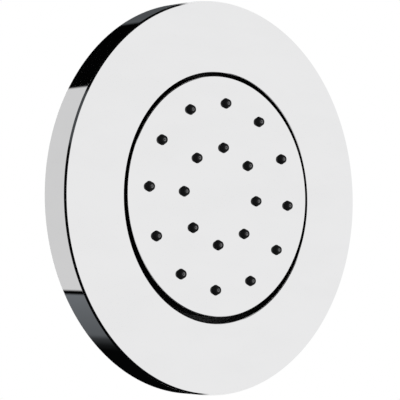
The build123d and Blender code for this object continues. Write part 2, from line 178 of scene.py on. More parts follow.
class JetWallSizes(PropertyGroup):
    """Sizes of the cup, ring and gasket that hold the jet in its wall."""

    cup_radius: length("Cup radius", "Outside radius of the cup's wall", cup_high.x)
    cup_front: position("Cup front", "Front edge of the cup", cup_low.y)
    cup_back: position("Cup back", "Back of the cup's well", cup_high.y)
    cup_wall: mm("Cup wall", "Thickness of the cup's walls", 2.0)
    dish_back: position("Dish back", "Back of the dish behind the spray head", 4.214 * MM)
    well_radius: mm("Well radius", "Outside radius of the well round the hexagon", 21.82)
    well_floor: mm("Well floor", "Thickness of the well's floor", 2.6)
    well_hole: mm("Well hole", "Radius of the hole for the connector", 12.2)
    mould_round: mm("Mould radius", "Rounding of the moulded corners", 0.4)
    gussets: count("Gussets", "Stiffening ribs between dish and well", 8)
    gusset_wall: mm("Gusset wall", "Thickness of a stiffening rib", 2.0)
    cup_pitch: mm("Cup thread pitch", "Pitch of the thread for the mounting ring", 2.0)
    cup_groove: mm("Cup thread depth", "Depth of the thread for the mounting ring", 0.55)
    ring_bore: length("Ring bore", "Inside radius of the mounting ring", cup_high.x + 0.05 * MM)
    ring_wall: mm("Ring wall", "Thickness of the mounting ring's collar and web", 2.0)
    ring_band: mm("Ring band", "Width of the mounting ring's outer band", 4.2)
    ring_ribs: count("Ring ribs", "Ribs between the mounting ring's collar and band", 12)
    rib_wall: mm("Rib wall", "Thickness of a rib of the mounting ring", 1.6)
    groove_floor: mm("Groove floor", "Radius of the floor of the O-ring groove", 55.27)
    groove_half: mm("Groove half", "Half the width of the O-ring groove", 1.6)
    gasket_inside: length("Gasket inside", "Inside radius of the foam gasket", gasket_high.x - 8.0 * MM)


class JetConnectorSizes(PropertyGroup):
    """Sizes of the brass connector, its lock nut and its washers."""

    ball_radius: mm("Ball radius", "Radius of the ball", 8.0)
    ball_bore: mm("Ball bore", "Radius of the waterway through the ball", 3.0)
    neck_radius: mm("Neck radius", "Radius of the neck behind the ball", 5.0)
    hex_front: position("Hexagon front", "Front of the hexagon", hexagon_back - 5.0 * MM)
    hex_back: position("Hexagon back", "Back of the hexagon", hexagon_back)
    hex_flats: length("Hexagon flats", "Width of hexagon and lock nut across flats", nut_high.z - nut_low.z)
    shank_radius: mm("Shank radius", "Radius of the shank that the lock nut runs on", 12.0)
    shank_back: position("Shank back", "End of the shank", nut_high.y + 1.0 * MM)
    shank_pitch: mm("Shank pitch", "Pitch of the shank's thread", 1.5)
    shank_groove: mm("Shank thread depth", "Depth of the shank's thread", 0.92)
    relief_width: mm("Relief width", "Width of the groove ahead of the inlet thread", 1.6)
    relief_radius: mm("Relief radius", "Radius of the groove ahead of the inlet thread", 9.2775)
    thread_radius: mm("Thread radius", "Outside radius of the inlet thread", 10.4775)
    thread_pitch: mm("Thread pitch", "Pitch of the inlet thread", 1.814)
    thread_groove: mm("Thread depth", "Depth of the inlet thread", 1.162)
    thread_chamfer: mm("Thread chamfer", "Chamfer at the ends of the threads", 1.0)
    inlet_bore: mm("Inlet bore", "Radius of the inlet's bore", 7.0)
    inlet_floor: position("Inlet floor", "Floor of the inlet's bore", bore_floor)
    nut_bore: mm("Nut bore", "Inside radius of the lock nut", 12.05)
    washer_bore: mm("Washer bore", "Inside radius of the washer behind the cup", 12.2)
    filter_bore: mm("Filter bore", "Inside radius of the rubber filter washer", 4.6)
    mesh_seat: mm("Mesh seat", "Radius of the groove for the strainer", 5.3)
    mesh_wall: mm("Mesh wall", "Width of the groove for the strainer", 0.4)


class JetFinishes(PropertyGroup):
    """Base colours of the finishes."""

    chrome: colour("Chrome", "Polished chrome plate", (0.815, 0.815, 0.82))
    silicone: colour("Silicone", "Black silicone of the nozzles", (0.004, 0.004, 0.0044))
    # Pale grey painted on each nozzle's mouth: a painted highlight that stands in for the glint on its tip
    nozzle_tip_highlight: colour("Nozzle end", "Silicone at a nozzle's mouth, pale from use", (0.22, 0.22, 0.225))
    nitrile: colour("Nitrile", "Black rubber of seals and washers", (0.025, 0.025, 0.026))
    foam: colour("Foam", "Closed-cell foam of the wall gasket", (0.05, 0.05, 0.052))
    nylon: colour("Nylon", "Grey glass-filled nylon of cup and ring", (0.16, 0.165, 0.17))
    plastic: colour("Plastic", "Black moulded plastic of the head's shell", (0.03, 0.03, 0.032))
    acetal: colour("Acetal", "White acetal of liners and regulator", (0.8, 0.8, 0.77))
    brass: colour("Brass", "Bright turned brass", (0.72, 0.53, 0.26))
    stainless: colour("Stainless", "Rolled stainless steel", (0.6, 0.6, 0.6))
    fibre: colour("Fibre", "Red vulcanised fibre", (0.36, 0.1, 0.06))
    floor: colour("Floor", "Pale studio floor", (0.86, 0.86, 0.86))


class JetStage(PropertyGroup):
    """Camera, lamps and floor."""

    camera_distance: length("Distance", "Camera to the jet", 0.5471)
    camera_left: angle("From the left", "How far the camera stands to the left of the jet's axis", 42.634)
    camera_up: angle("From above", "How far the camera stands above the jet", -2.062)
    camera_roll: angle("Roll", "How far the camera is turned about its own line of sight", 0.36)
    camera_aim_x: position("Aim right", "How far right of the jet's axis the camera looks", 0.383 * MM)
    camera_aim_z: position("Aim up", "How far above the jet's axis the camera looks", -0.783 * MM)
    camera_lens: level("Lens", "Focal length in millimetres", 159.48, "CAMERA")
    floor_drop: length("Floor", "Depth of the floor below the jet's axis", 0.13)
    floor_radius: length("Floor radius", "Radius of the floor", 0.55)
    fill_level: level("Fill", "Even light from all sides", 0.6)
    key_power: level("Key lamp", "Lamp in front", 5.0, "POWER")
    rear_power: level("Rear lamp", "Lamp behind", 4.0, "POWER")


def deselect():
    """Nothing is selected afterwards, so an operator acts on the next piece alone."""
    bpy.ops.object.select_all(action="DESELECT")


def pick(piece):
    """Make one piece the only selected and active one."""
    deselect()
    piece.select_set(True)
    bpy.context.view_layer.objects.active = piece


def add(make, name, **settings):
    """Add an object with an operator, as the only selected one, and name it."""
    deselect()
    make(**settings)
    bpy.context.object.name = name
    return bpy.context.object


def select_places(piece, places):
    """Select the vertices of the piece in edit mode that stand at the given places."""
    mesh = bmesh.from_edit_mesh(piece.data)
    for vertex in mesh.verts:
        vertex.select_set(any((vertex.co - place).length < SAME_PLACE for place in places))
    mesh.select_flush_mode()
    bmesh.update_edit_mesh(piece.data)


def draw_outline(name, profile):
    """A new piece in edit mode: the closed outline through (radius, y) points.

    A point may have a third number, the rounding of its corner.
    """
    piece = add(bpy.ops.mesh.primitive_plane_add, name, size=MM)
    bpy.ops.object.mode_set(mode="EDIT")
    bpy.ops.mesh.select_mode(type="VERT")
    bpy.ops.mesh.merge(type="CENTER")
    path = [Vector((*point[:2], 0.0)) for point in profile]
    bpy.ops.transform.translate(value=path[0])
    for start, end in zip(path, path[1:] + path[:1]):
        bpy.ops.mesh.extrude_vertices_move(TRANSFORM_OT_translate={"value": end - start})
    bpy.ops.mesh.select_all(action="SELECT")
    bpy.ops.mesh.remove_doubles(threshold=SAME_PLACE)
    for rounding in sorted({point[2] for point in profile if any(point[2:])}):
        corners = [place for place, point in zip(path, profile) if point[2:] == (rounding,)]
        select_places(piece, corners)
        bpy.ops.mesh.bevel(offset=rounding, segments=4, affect="VERTICES")
    bpy.ops.mesh.select_all(action="SELECT")
    return piece


def close_mesh():
    """Merge the seam and the poles of the active piece, and turn its faces outwards."""
    bpy.ops.object.mode_set(mode="EDIT")
    bpy.ops.mesh.select_all(action="SELECT")
    bpy.ops.mesh.remove_doubles(threshold=SAME_PLACE)
    bpy.ops.mesh.dissolve_degenerate(threshold=SAME_PLACE)
    bpy.ops.mesh.delete_loose(use_verts=True, use_edges=True, use_faces=False)
    bpy.ops.mesh.select_all(action="SELECT")
    bpy.ops.mesh.normals_make_consistent(inside=False)
    bpy.ops.object.mode_set(mode="OBJECT")


def spin_piece(name, profile, steps):
    """Spin a closed outline about the jet's axis."""
    piece = draw_outline(name, profile)
    bpy.ops.mesh.spin(steps=steps, angle=tau, center=(0.0, 0.0, 0.0), axis=AXIS)
    close_mesh()
    return piece


def ring_profile(inside, outside, front, back, rounds=(0.0, 0.0, 0.0, 0.0)):
    """Profile of a plain ring; its four corners, from the front's inside on, have roundings in mm."""
    corners = [(inside, front), (outside, front), (outside, back), (inside, back)]
    return [(*corner, rounding * MM) for corner, rounding in zip(corners, rounds)]


def rib_piece(name, profile, wall, edge):
    """Flat rib with rounded edges, standing in the plane of the axis."""
    piece = draw_outline(name, profile)
    bpy.ops.mesh.edge_face_add()
    bpy.ops.transform.translate(value=(0.0, 0.0, -wall / 2))
    bpy.ops.mesh.extrude_region_move(TRANSFORM_OT_translate={"value": (0.0, 0.0, wall)})
    bpy.ops.mesh.select_all(action="SELECT")
    bpy.ops.mesh.normals_make_consistent(inside=False)
    bpy.ops.mesh.bevel(offset=edge, segments=3, affect="EDGES")
    close_mesh()
    return piece


def apply_modifier(piece, kind, **settings):
    """Add a modifier to a piece, set it and apply it."""
    pick(piece)
    modifier = piece.modifiers.new(kind, kind)
    for key, value in settings.items():
        setattr(modifier, key, value)
    bpy.ops.object.modifier_apply(modifier=modifier.name)


def combine(piece, other, operation):
    """Unite, cut or intersect one piece with another, which is used up, and leave a closed mesh."""
    apply_modifier(piece, "BOOLEAN", operation=operation, solver="EXACT", object=other)
    bpy.data.objects.remove(other)
    close_mesh()


def settle(piece, place):
    """Move a piece to its place and leave the place in its mesh."""
    pick(piece)
    piece.matrix_world = place
    bpy.ops.object.transform_apply(location=True, rotation=True, scale=True)


def places_round(circles):
    """Places round the jet's axis; circles are (number, radius) pairs."""
    return [
        Matrix.Rotation(tau * index / number, 4, "Y") @ Matrix.Translation((radius, 0, 0))
        for number, radius in circles
        for index in range(number)
    ]


def copy_round(piece, circles):
    """Copies of a piece at places round the jet's axis, joined in one."""
    copies = []
    for place in places_round(circles):
        pick(piece)
        bpy.ops.object.duplicate(linked=False)
        copies.append(bpy.context.object)
        settle(copies[-1], place)
    bpy.data.objects.remove(piece)
    pick(copies[0])
    for copy in copies:
        copy.select_set(True)
    bpy.ops.object.join()
    return copies[0]


def drill(piece, radius, front, back, circles, steps):
    """Drill holes round the jet's axis through a piece that reaches from front to back."""
    bit = spin_piece("drill", ring_profile(0.0, radius, front - MM, back + MM), steps)
    combine(piece, copy_round(bit, circles), "DIFFERENCE")


def hand_over(piece, node, body, slot, place=None):
    """Shade a finished piece, move it to its place, and let it stand for its CAD node in its finish."""
    if not piece.data.polygons:
        raise RuntimeError(piece.name + " came out empty")
    pick(piece)
    bpy.ops.object.shade_smooth_by_angle(angle=SMOOTH_BELOW)
    apply_modifier(piece, "WEIGHTED_NORMAL", keep_sharp=True)
    if place:
        settle(piece, place)
    piece.data.materials.clear()
    piece.data.materials.append(finish_of(slot))
    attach(piece, body)
    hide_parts(node)


def turned(*turns):
    """The product of turns, each an angle and the letter of its axis."""
    product = Matrix()
    for turn, axis in turns:
        product = product @ Matrix.Rotation(turn, 4, axis)
    return product


def rest_place(head):
    """The turn of the spray head about its ball, from square to how it stands at rest."""
    ball = Matrix.Translation((0.0, head.ball_centre, 0.0))
    turn = turned((-head.rest_left, "Z"), (-head.rest_up, "X"), (head.rest_spin, "Y"))
    return ball @ turn @ ball.inverted()


def nozzle_circles(head):
    """Number and radius of the spray head's circles of nozzles."""
    return [(head.inner_nozzles, head.inner_circle), (head.outer_nozzles, head.outer_circle)]


def even_rows(start, end, pitch, rows):
    """Places along a thread, about so many to each turn."""
    steps = max(1, round((end - start) / pitch * rows))
    return [start + (end - start) * index / steps for index in range(steps + 1)]


def thread_profile(radius, start, end, pitch, chamfer=0.0, rows=16, chamfer_rows=16):
    """Profile points along a thread and down its chamfer, close enough together to cut it."""
    full_end = end - chamfer
    points = [(radius, y) for y in even_rows(start, full_end, pitch, rows)]
    if chamfer:
        points += [(radius - (y - full_end), y) for y in even_rows(full_end, end, pitch, chamfer_rows)[1:]]
    return points


def cut_thread(piece, radius, start, end, pitch, depth):
    """Cut a right-hand thread into the outside of a spun piece, running out at its start."""
    for vertex in piece.data.vertices:
        x, y, z = vertex.co
        distance = hypot(x, z)
        if not start - SAME_PLACE <= y <= end + SAME_PLACE or distance < radius - depth - SAME_PLACE:
            continue
        turn = (y / pitch - atan2(x, z) / tau) % 1.0
        groove = min(1.0, max(0.0, (1.0 - abs(2.0 * turn - 1.0) - THREAD_CREST) / THREAD_FLANK))
        runout = min(1.0, (y - start) / pitch)
        limit = radius - depth * groove * runout
        if distance > limit:
            vertex.co.x = x * limit / distance
            vertex.co.z = z * limit / distance
    piece.data.update()


def hexagon_piece(name, flats, front, back, bore):
    """Hexagon with chamfered corners and a bore, corners to the left and right."""
    corner = flats / 2 / cos(pi / 6)
    chamfer = (corner - flats / 2) / 2
    spare = 0.05 * MM
    profile = [
        (bore, front),
        (flats / 2, front),
        (corner + spare, front + chamfer),
        (corner + spare, back - chamfer),
        (flats / 2, back),
        (bore, back),
    ]
    piece = spin_piece(name, profile, steps=144)
    prism = add(
        bpy.ops.mesh.primitive_cylinder_add,
        "prism",
        vertices=6,
        radius=corner,
        depth=back - front + 2 * spare,
        location=(0.0, (front + back) / 2, 0.0),
        rotation=(pi / 2, pi / 2, 0.0),
    )
    combine(piece, prism, "INTERSECT")
    limit = {"limit_method": "ANGLE", "angle_limit": radians(20.0)}
    apply_modifier(piece, "BEVEL", width=0.15 * MM, segments=3, **limit)
    close_mesh()
    return piece


def feed(tree, node, inputs):
    """Feed inputs of a node from values or from other nodes' sockets."""
    for key, value in inputs.items():
        if isinstance(value, NodeSocket):
            tree.links.new(value, node.inputs[key])
        else:
            node.inputs[key].default_value = value


def put(tree, kind, inputs=None, **settings):
    """Add a node, set its options and feed its inputs."""
    made = tree.nodes.new(kind)
    for key, value in settings.items():
        setattr(made, key, value)
    feed(tree, made, inputs or {})
    return made


def calc(tree, operation, *values):
    """Result of a Math node on values or sockets."""
    return put(tree, "ShaderNodeMath", dict(enumerate(values)), operation=operation).outputs[0]


def spread(tree, value, low, high, to_low=0.0, to_high=1.0, smooth=False):
    """A value mapped from one range to another and held inside it."""
    inputs = {"Value": value, "From Min": low, "From Max": high, "To Min": to_low, "To Max": to_high}
    kind = "SMOOTHSTEP" if smooth else "LINEAR"
    return put(tree, "ShaderNodeMapRange", inputs, interpolation_type=kind).outputs["Result"]


def blend(tree, share, first, second):
    """Colour between two colours, which a Mix node takes at sockets 6 and 7 and puts out at socket 2."""
    return put(tree, "ShaderNodeMix", {0: share, 6: first, 7: second}, data_type="RGBA").outputs[2]


def opaque(rgb, share=1.0):
    """A colour with full cover, darkened to a share."""
    return (rgb[0] * share, rgb[1] * share, rgb[2] * share, 1.0)


def noise(tree, vector, scale, detail=3.0, rough=0.55):
    """Value of a noise texture."""
    inputs = {"Vector": vector, "Scale": scale, "Detail": detail, "Roughness": rough}
    return put(tree, "ShaderNodeTexNoise", inputs).outputs[0]


def about_axis(tree, vector):
    """Distance from the jet's axis and place along it, for a place in space."""
    x, y, z = put(tree, "ShaderNodeSeparateXYZ", {0: vector}).outputs
    square = calc(tree, "ADD", calc(tree, "MULTIPLY", x, x), calc(tree, "MULTIPLY", z, z))
    return calc(tree, "SQRT", square), y


def effect(tree, build, **inputs):
    """Place an effect in a material, as a node group that is built once, and give its outputs."""
    name = build.__name__.replace("_", " ").title()
    group = bpy.data.node_groups.get(name)
    if not group:
        group = bpy.data.node_groups.new(name, "ShaderNodeTree")
        for socket in inputs:
            kind = "NodeSocketFloat" if socket == "Scale" else "NodeSocketVector"
            group.interface.new_socket(socket, in_out="INPUT", socket_type=kind)
        results = build(group, group.nodes.new("NodeGroupInput").outputs)
        for socket in results:
            group.interface.new_socket(socket, in_out="OUTPUT", socket_type="NodeSocketFloat")
        end = group.nodes.new("NodeGroupOutput")
        for socket, value in results.items():
            group.links.new(value, end.inputs[socket])
    return put(tree, "ShaderNodeGroup", inputs, node_tree=group).outputs


def moulded_grain(tree, start):
    """Grain of a moulded surface, with slow drifts of tone and fine specks."""
    vector, scale = start["Vector"], start["Scale"]
    drift = noise(tree, vector, calc(tree, "MULTIPLY", scale, 0.05))
    specks = noise(tree, vector, calc(tree, "MULTIPLY", scale, 0.6), 1.0)
    return {
        "Height": noise(tree, vector, scale, 4.0, 0.6),
        "Drift": spread(tree, drift, 0.35, 0.65),
        "Specks": spread(tree, specks, 0.62, 0.72),
    }


def turning_marks(tree, start):
    """Rings that a turning tool leaves round the jet's axis, and slow drifts of tone."""
    away, along = about_axis(tree, start["Vector"])
    way = calc(tree, "MULTIPLY_ADD", along, 0.8, away)
    inputs = {"W": way, "Scale": start["Scale"], "Detail": 3.0, "Roughness": 0.7}
    rings = put(tree, "ShaderNodeTexNoise", inputs, noise_dimensions="1D").outputs[0]
    drift = noise(tree, start["Vector"], 90.0)
    return {"Height": spread(tree, rings, 0.3, 0.7), "Drift": spread(tree, drift, 0.35, 0.65)}


def handling_marks(tree, start):
    """Faint smears and specks that wiping leaves on a polished or rolled surface."""
    inputs = {0: start["Vector"], 1: start["Stretch"]}
    stretched = put(tree, "ShaderNodeVectorMath", inputs, operation="MULTIPLY").outputs[0]
    smear = noise(tree, stretched, start["Scale"], 5.0, 0.6)
    specks = noise(tree, start["Vector"], calc(tree, "MULTIPLY", start["Scale"], 30.0), 0.0)
    return {
        "Smear": spread(tree, smear, 0.35, 0.7, smooth=True),
        "Specks": spread(tree, specks, 0.72, 0.8),
    }


def surface(tree, tone, height, ends, rough, strength, depth):
    """Shader inputs for a tone, and for a height that makes the relief and, between two ends, the gloss."""
    inputs = {"Height": height, "Strength": strength, "Distance": depth}
    relief = put(tree, "ShaderNodeBump", inputs).outputs["Normal"]
    return {"Base Color": tone, "Roughness": spread(tree, height, *ends, *rough), "Normal": relief}


def polished_finish(tree, vector, rgb, cover):
    """Mirror-bright plate with faint wiping marks in its gloss, and painted shade inside the cover's opening: base
    colour darkened almost to black and roughness raised on the gap's walls.
    """
    marks = effect(tree, handling_marks, Vector=vector, Stretch=(1.0, 1.0, 3.0), Scale=35.0)
    tone = blend(tree, marks["Smear"], opaque(rgb), opaque(rgb, 0.985))
    gloss = calc(tree, "MULTIPLY_ADD", marks["Smear"], 0.025, 0.02)
    gloss = calc(tree, "MULTIPLY_ADD", marks["Specks"], 0.02, gloss)
    # Painted shade: the walls behind the front and inside the cover's opening are darkened to stand in for the
    # shadow in the gap between cover and plate
    away, along = about_axis(tree, vector)
    deep = spread(tree, along, cover.front + 0.3 * MM, cover.front + 0.7 * MM)
    inside = spread(tree, away, cover.opening + 0.4 * MM, cover.opening + 0.3 * MM)
    painted_gap_shade = calc(tree, "MULTIPLY", deep, inside)
    tone = blend(tree, painted_gap_shade, tone, opaque(rgb, 0.04))
    gloss = calc(tree, "MULTIPLY_ADD", painted_gap_shade, 0.3, gloss)
    return {"Base Color": tone, "Roughness": gloss, "Metallic": 1.0}


def grained_finish(tree, vector, rgb, drift, rough, scale, depth, specks=0.0, highlight_rgb=None, shine=0.5):
    """Moulded plastic or rubber: grain, drifts of tone, specks of filler, and a painted highlight, a paler tone
    where the tip attribute marks it.
    """
    grain = effect(tree, moulded_grain, Vector=vector, Scale=scale)
    tone = blend(tree, grain["Drift"], opaque(rgb), opaque(rgb, drift))
    if specks:
        tone = blend(tree, calc(tree, "MULTIPLY", grain["Specks"], specks), tone, opaque(rgb, 2.2))
    # Painted highlight: the tone turns pale grey where the attribute marks a nozzle's mouth
    if highlight_rgb:
        painted_highlight = put(tree, "ShaderNodeAttribute", attribute_name=TIP_HIGHLIGHT).outputs["Fac"]
        tone = blend(tree, painted_highlight, tone, opaque(highlight_rgb))
    made = surface(tree, tone, grain["Height"], (0.3, 0.7), rough, 0.6, depth)
    return {**made, "Specular IOR Level": shine}


def turned_finish(tree, vector, rgb):
    """Bright turned metal with tool rings and a little tarnish."""
    marks = effect(tree, turning_marks, Vector=vector, Scale=3000.0)
    tone = blend(tree, marks["Drift"], opaque(rgb), opaque(rgb, 0.84))
    made = surface(tree, tone, marks["Height"], (0.0, 1.0), (0.28, 0.42), 0.15, 0.012 * MM)
    return {**made, "Metallic": 1.0}


def rolled_finish(tree, vector, rgb):
    """Rolled sheet metal with fine lines along the rolling direction."""
    marks = effect(tree, handling_marks, Vector=vector, Stretch=(0.06, 1.0, 1.0), Scale=2600.0)
    tone = blend(tree, marks["Smear"], opaque(rgb), opaque(rgb, 0.88))
    made = surface(tree, tone, marks["Smear"], (0.0, 1.0), (0.2, 0.36), 0.3, 0.008 * MM)
    return {**made, "Metallic": 1.0}


def foam_finish(tree, vector, rgb):
    """Closed-cell foam: small cells with thin walls."""
    inputs = {"Vector": vector, "Scale": 1500.0}
    cells = put(tree, "ShaderNodeTexVoronoi", inputs, feature="F1").outputs["Distance"]
    walls = spread(tree, cells, 0.15, 0.75, smooth=True)
    grain = effect(tree, moulded_grain, Vector=vector, Scale=900.0)
    shade = calc(tree, "MULTIPLY_ADD", walls, 0.7, calc(tree, "MULTIPLY", grain["Drift"], 0.3))
    tone = blend(tree, shade, opaque(rgb, 0.55), opaque(rgb, 1.35))
    return surface(tree, tone, walls, (0.0, 1.0), (0.95, 0.8), 0.8, 0.12 * MM)


def finish_of(slot):
    """The finish of a material slot of the record, made when it is first asked for."""
    found = bpy.data.materials.get(slot)
    if found and found.get("jet_finish"):
        return found
    if found:
        found.name = slot + "_cad"
    rgb = bpy.context.scene.jet_finishes
    silicone = (rgb.silicone, 1.5, (0.4, 0.55), 2600.0, 0.01 * MM, 0.0, rgb.nozzle_tip_highlight, 0.08)
    painters = {
        # The cover's sizes place the painted shade inside its opening
        "polished_chrome": (polished_finish, rgb.chrome, bpy.context.scene.jet_cover),
        "black_silicone": (grained_finish, *silicone),
        "black_nitrile": (grained_finish, rgb.nitrile, 1.5, (0.5, 0.7), 2200.0, 0.015 * MM),
        "gasket_foam": (foam_finish, rgb.foam),
        "grey_nylon": (grained_finish, rgb.nylon, 0.82, (0.46, 0.64), 2400.0, 0.02 * MM, 0.5),
        "black_plastic": (grained_finish, rgb.plastic, 1.4, (0.42, 0.58), 2400.0, 0.015 * MM),
        "white_acetal": (grained_finish, rgb.acetal, 0.94, (0.3, 0.42), 1800.0, 0.006 * MM),
        "turned_brass": (turned_finish, rgb.brass),
        "stainless": (rolled_finish, rgb.stainless),
        "red_fibre": (grained_finish, rgb.fibre, 0.74, (0.7, 0.9), 1600.0, 0.03 * MM, 0.3),
    }
    material = bpy.data.materials.new(slot)
    material.use_nodes = True
    material["jet_finish"] = True
    tree = material.node_tree
    shader = next(node for node in tree.nodes if node.type == "BSDF_PRINCIPLED")
    vector = put(tree, "ShaderNodeTexCoord").outputs["Object"]
    paint, *values = painters[slot]
    feed(tree, shader, paint(tree, vector, *values))
    return material


class JET_OT_turn_cover(Operator):
    """Turn the hollow chromed cover with its chamfered edge and the collar round its opening."""

    bl_idname = "jet.turn_cover"
    bl_label = "Turn the cover"

    def execute(self, context):
        size = context.scene.jet_cover
        inside = size.radius - size.wall
        face_back = size.front + size.wall
        collar_back = size.front + size.collar_depth
        collar_outside = size.opening + size.collar_wall
        profile = [
            (size.radius, 0.0, 0.15 * MM),
            (size.radius, size.front + size.chamfer_back, CRISP),
            (size.radius - size.chamfer_across, size.front, CRISP),
            (size.opening + size.edge_break, size.front, CRISP),
            (size.opening, size.front + size.edge_break, CRISP),
            (size.opening, collar_back, SOFT),
            (collar_outside, collar_back, SOFT),
            (collar_outside, face_back, 0.5 * MM),
            (inside, face_back, 0.8 * MM),
            (inside, 0.0, SOFT),
        ]
        cover = spin_piece("escutcheon_turned", profile, steps=384)
        hung = Matrix.Translation((0.0, 0.0, -size.drop))
        hand_over(cover, "escutcheon", "base", "polished_chrome", hung)
        return {"FINISHED"}


class JET_OT_drill_plate(Operator):
    """Turn the chromed spray plate, drill its nozzle holes and add the screw bosses behind it."""

    bl_idname = "jet.drill_plate"
    bl_label = "Drill the spray plate"

    def execute(self, context):
        size = context.scene.jet_head
        front = size.plate_front
        back = front + size.plate_wall
        skirt_back = front + size.skirt_depth
        skirt_inside = size.plate_radius - size.plate_wall
        edge = 0.06 * MM
        profile = [
            (0.0, front),
            (size.plate_radius - size.edge_break, front, edge),
            (size.plate_radius, front + size.edge_break, edge),
            (size.plate_radius, skirt_back, SOFT),
            (skirt_inside, skirt_back, SOFT),
            (skirt_inside, back, 0.5 * MM),
            (0.0, back),
        ]
        plate = spin_piece("spray_plate_drilled", profile, steps=320)
        drill(plate, size.nozzle_base + size.hole_room, front, back, nozzle_circles(size), steps=64)
        ends = (back - BITE, back + size.boss_height)
        boss_profile = ring_profile(size.boss_bore, size.boss_radius, *ends, (0.0, 0.0, 0.25, 0.15))
        boss = spin_piece("boss", boss_profile, steps=48)
        combine(plate, copy_round(boss, [(size.screws, size.screw_circle)]), "UNION")
        hand_over(plate, "spray_plate", "spray_head", "polished_chrome", rest_place(size))
        return {"FINISHED"}


class JET_OT_mould_nozzles(Operator):
    """Mould the silicone mat with its hollow tapered nozzles."""

    bl_idname = "jet.mould_nozzles"
    bl_label = "Mould the nozzle mat"

    def execute(self, context):
        size = context.scene.jet_head
        front = size.plate_front
        tip = front - size.nozzle_reach
        mat_front = front + size.plate_wall
        mat_back = mat_front + size.mat_wall
        mat_radius = size.outer_circle + size.mat_border
        bead_inside = mat_radius - size.bead_width
        bead_back = mat_back + size.bead_height
        fillet = 0.2 * MM
        mat_profile = [
            (0.0, mat_front),
            (mat_radius, mat_front, fillet),
            (mat_radius, bead_back, SOFT),
            (bead_inside, bead_back, SOFT),
            (bead_inside, mat_back, fillet),
            (0.0, mat_back),
        ]
        mat = spin_piece("nozzle_mat_moulded", mat_profile, steps=160)
        circles = nozzle_circles(size)
        drill(mat, (size.nozzle_inlet + size.nozzle_base) / 2, mat_front, mat_back, circles, steps=48)
        mouth = size.nozzle_outlet + 0.3 * MM
        inlet_back = mat_back - 0.05 * MM
        nozzle_profile = [
            (size.nozzle_outlet, tip, 0.06 * MM),
            (mouth, tip),
            (size.nozzle_tip, tip, size.nozzle_edge),
            (size.nozzle_base, front - 0.1 * MM, fillet),
            (size.nozzle_base, inlet_back, 0.1 * MM),
            (size.nozzle_inlet, inlet_back, fillet),
            (size.nozzle_outlet, front, SOFT),
        ]
        nozzle = spin_piece("nozzle", nozzle_profile, steps=48)
        combine(mat, copy_round(nozzle, circles), "UNION")
        # Mark the nozzle mouths for their painted highlight
        self.mark_painted_highlight(mat, circles, tip + 0.1 * MM, size.nozzle_outlet, mouth)
        hand_over(mat, "nozzle_mat", "spray_head", "black_silicone", rest_place(size))
        return {"FINISHED"}

    def mark_painted_highlight(self, mat, circles, depth, outlet, mouth):
        """Painted highlight that fades from each outlet's edge to its mouth, on all that lies ahead of a depth."""
        middles = [place.to_translation() for place in places_round(circles)]
        painted_highlight = mat.data.attributes.new(TIP_HIGHLIGHT, "FLOAT", "POINT")
        for vertex, mark in zip(mat.data.vertices, painted_highlight.data):
            if vertex.co.y < depth:
                away = min(hypot(vertex.co.x - middle.x, vertex.co.z - middle.z) for middle in middles)
                mark.value = max(0.0, (mouth - away) / (mouth - outlet))


class JET_OT_mould_cup(Operator):
    """Mould the cup in the wall: threaded wall, dish, well and stiffening ribs."""

    bl_idname = "jet.mould_cup"
    bl_label = "Mould the cup"

    def execute(self, context):
        size = context.scene.jet_wall
        soft = size.mould_round
        inside = size.cup_radius - size.cup_wall
        dish_front = size.dish_back - size.cup_wall
        well_front = size.cup_back - size.well_floor
        well_inside = size.well_radius - size.cup_wall
        thread = (size.cup_radius, size.cup_front + MM, size.dish_back - MM, size.cup_pitch)
        profile = [
            (inside, size.cup_front, soft),
            (size.cup_radius, size.cup_front, soft),
            *thread_profile(*thread),
            (size.cup_radius, size.dish_back, soft),
            (size.well_radius, size.dish_back, soft),
            (size.well_radius, size.cup_back, soft),
            (size.well_hole, size.cup_back, soft),
            (size.well_hole, well_front, soft),
            (well_inside, well_front, soft),
            (well_inside, dish_front, soft),
            (inside, dish_front, soft),
        ]
        cup = spin_piece("mounting_cup_moulded", profile, steps=192)
        cut_thread(cup, *thread, size.cup_groove)
        gusset_profile = [
            (size.well_radius - BITE, size.dish_back - BITE),
            (inside, size.dish_back - BITE),
            (inside, size.dish_back + BITE),
            (size.well_radius - BITE, well_front),
        ]
        gusset = rib_piece("gusset", gusset_profile, size.gusset_wall, edge=0.35 * MM)
        combine(cup, copy_round(gusset, [(size.gussets, 0.0)]), "UNION")
        hand_over(cup, "mounting_cup", "base", "grey_nylon")
        return {"FINISHED"}


class JET_OT_mould_ring(Operator):
    """Mould the ring on the cup's thread: collar, ribbed web and band with the O-ring groove."""

    bl_idname = "jet.mould_ring"
    bl_label = "Mould the mounting ring"

    def execute(self, context):
        size = context.scene.jet_wall
        front, back, radius = ring_low.y, ring_high.y, ring_high.x
        collar = size.ring_bore + size.ring_wall
        band = radius - size.ring_band
        web_front = back - size.ring_wall
        groove_front = (front + back) / 2 - size.groove_half
        groove_back = (front + back) / 2 + size.groove_half
        corners = [
            (size.ring_bore, front),
            (collar, front),
            (collar, web_front),
            (band, web_front),
            (band, front),
            (radius, front),
            (radius, groove_front),
            (size.groove_floor, groove_front),
            (size.groove_floor, groove_back),
            (radius, groove_back),
            (radius, back),
            (size.ring_bore, back),
        ]
        ring = spin_piece("mounting_ring_moulded", [(*corner, SOFT) for corner in corners], steps=256)
        rib_profile = ring_profile(collar - BITE, band + BITE, front + BITE, web_front + BITE)
        rib = rib_piece("rib", rib_profile, size.rib_wall, edge=SOFT)
        combine(ring, copy_round(rib, [(size.ring_ribs, 0.0)]), "UNION")
        hand_over(ring, "mounting_ring", "base", "grey_nylon")
        return {"FINISHED"}


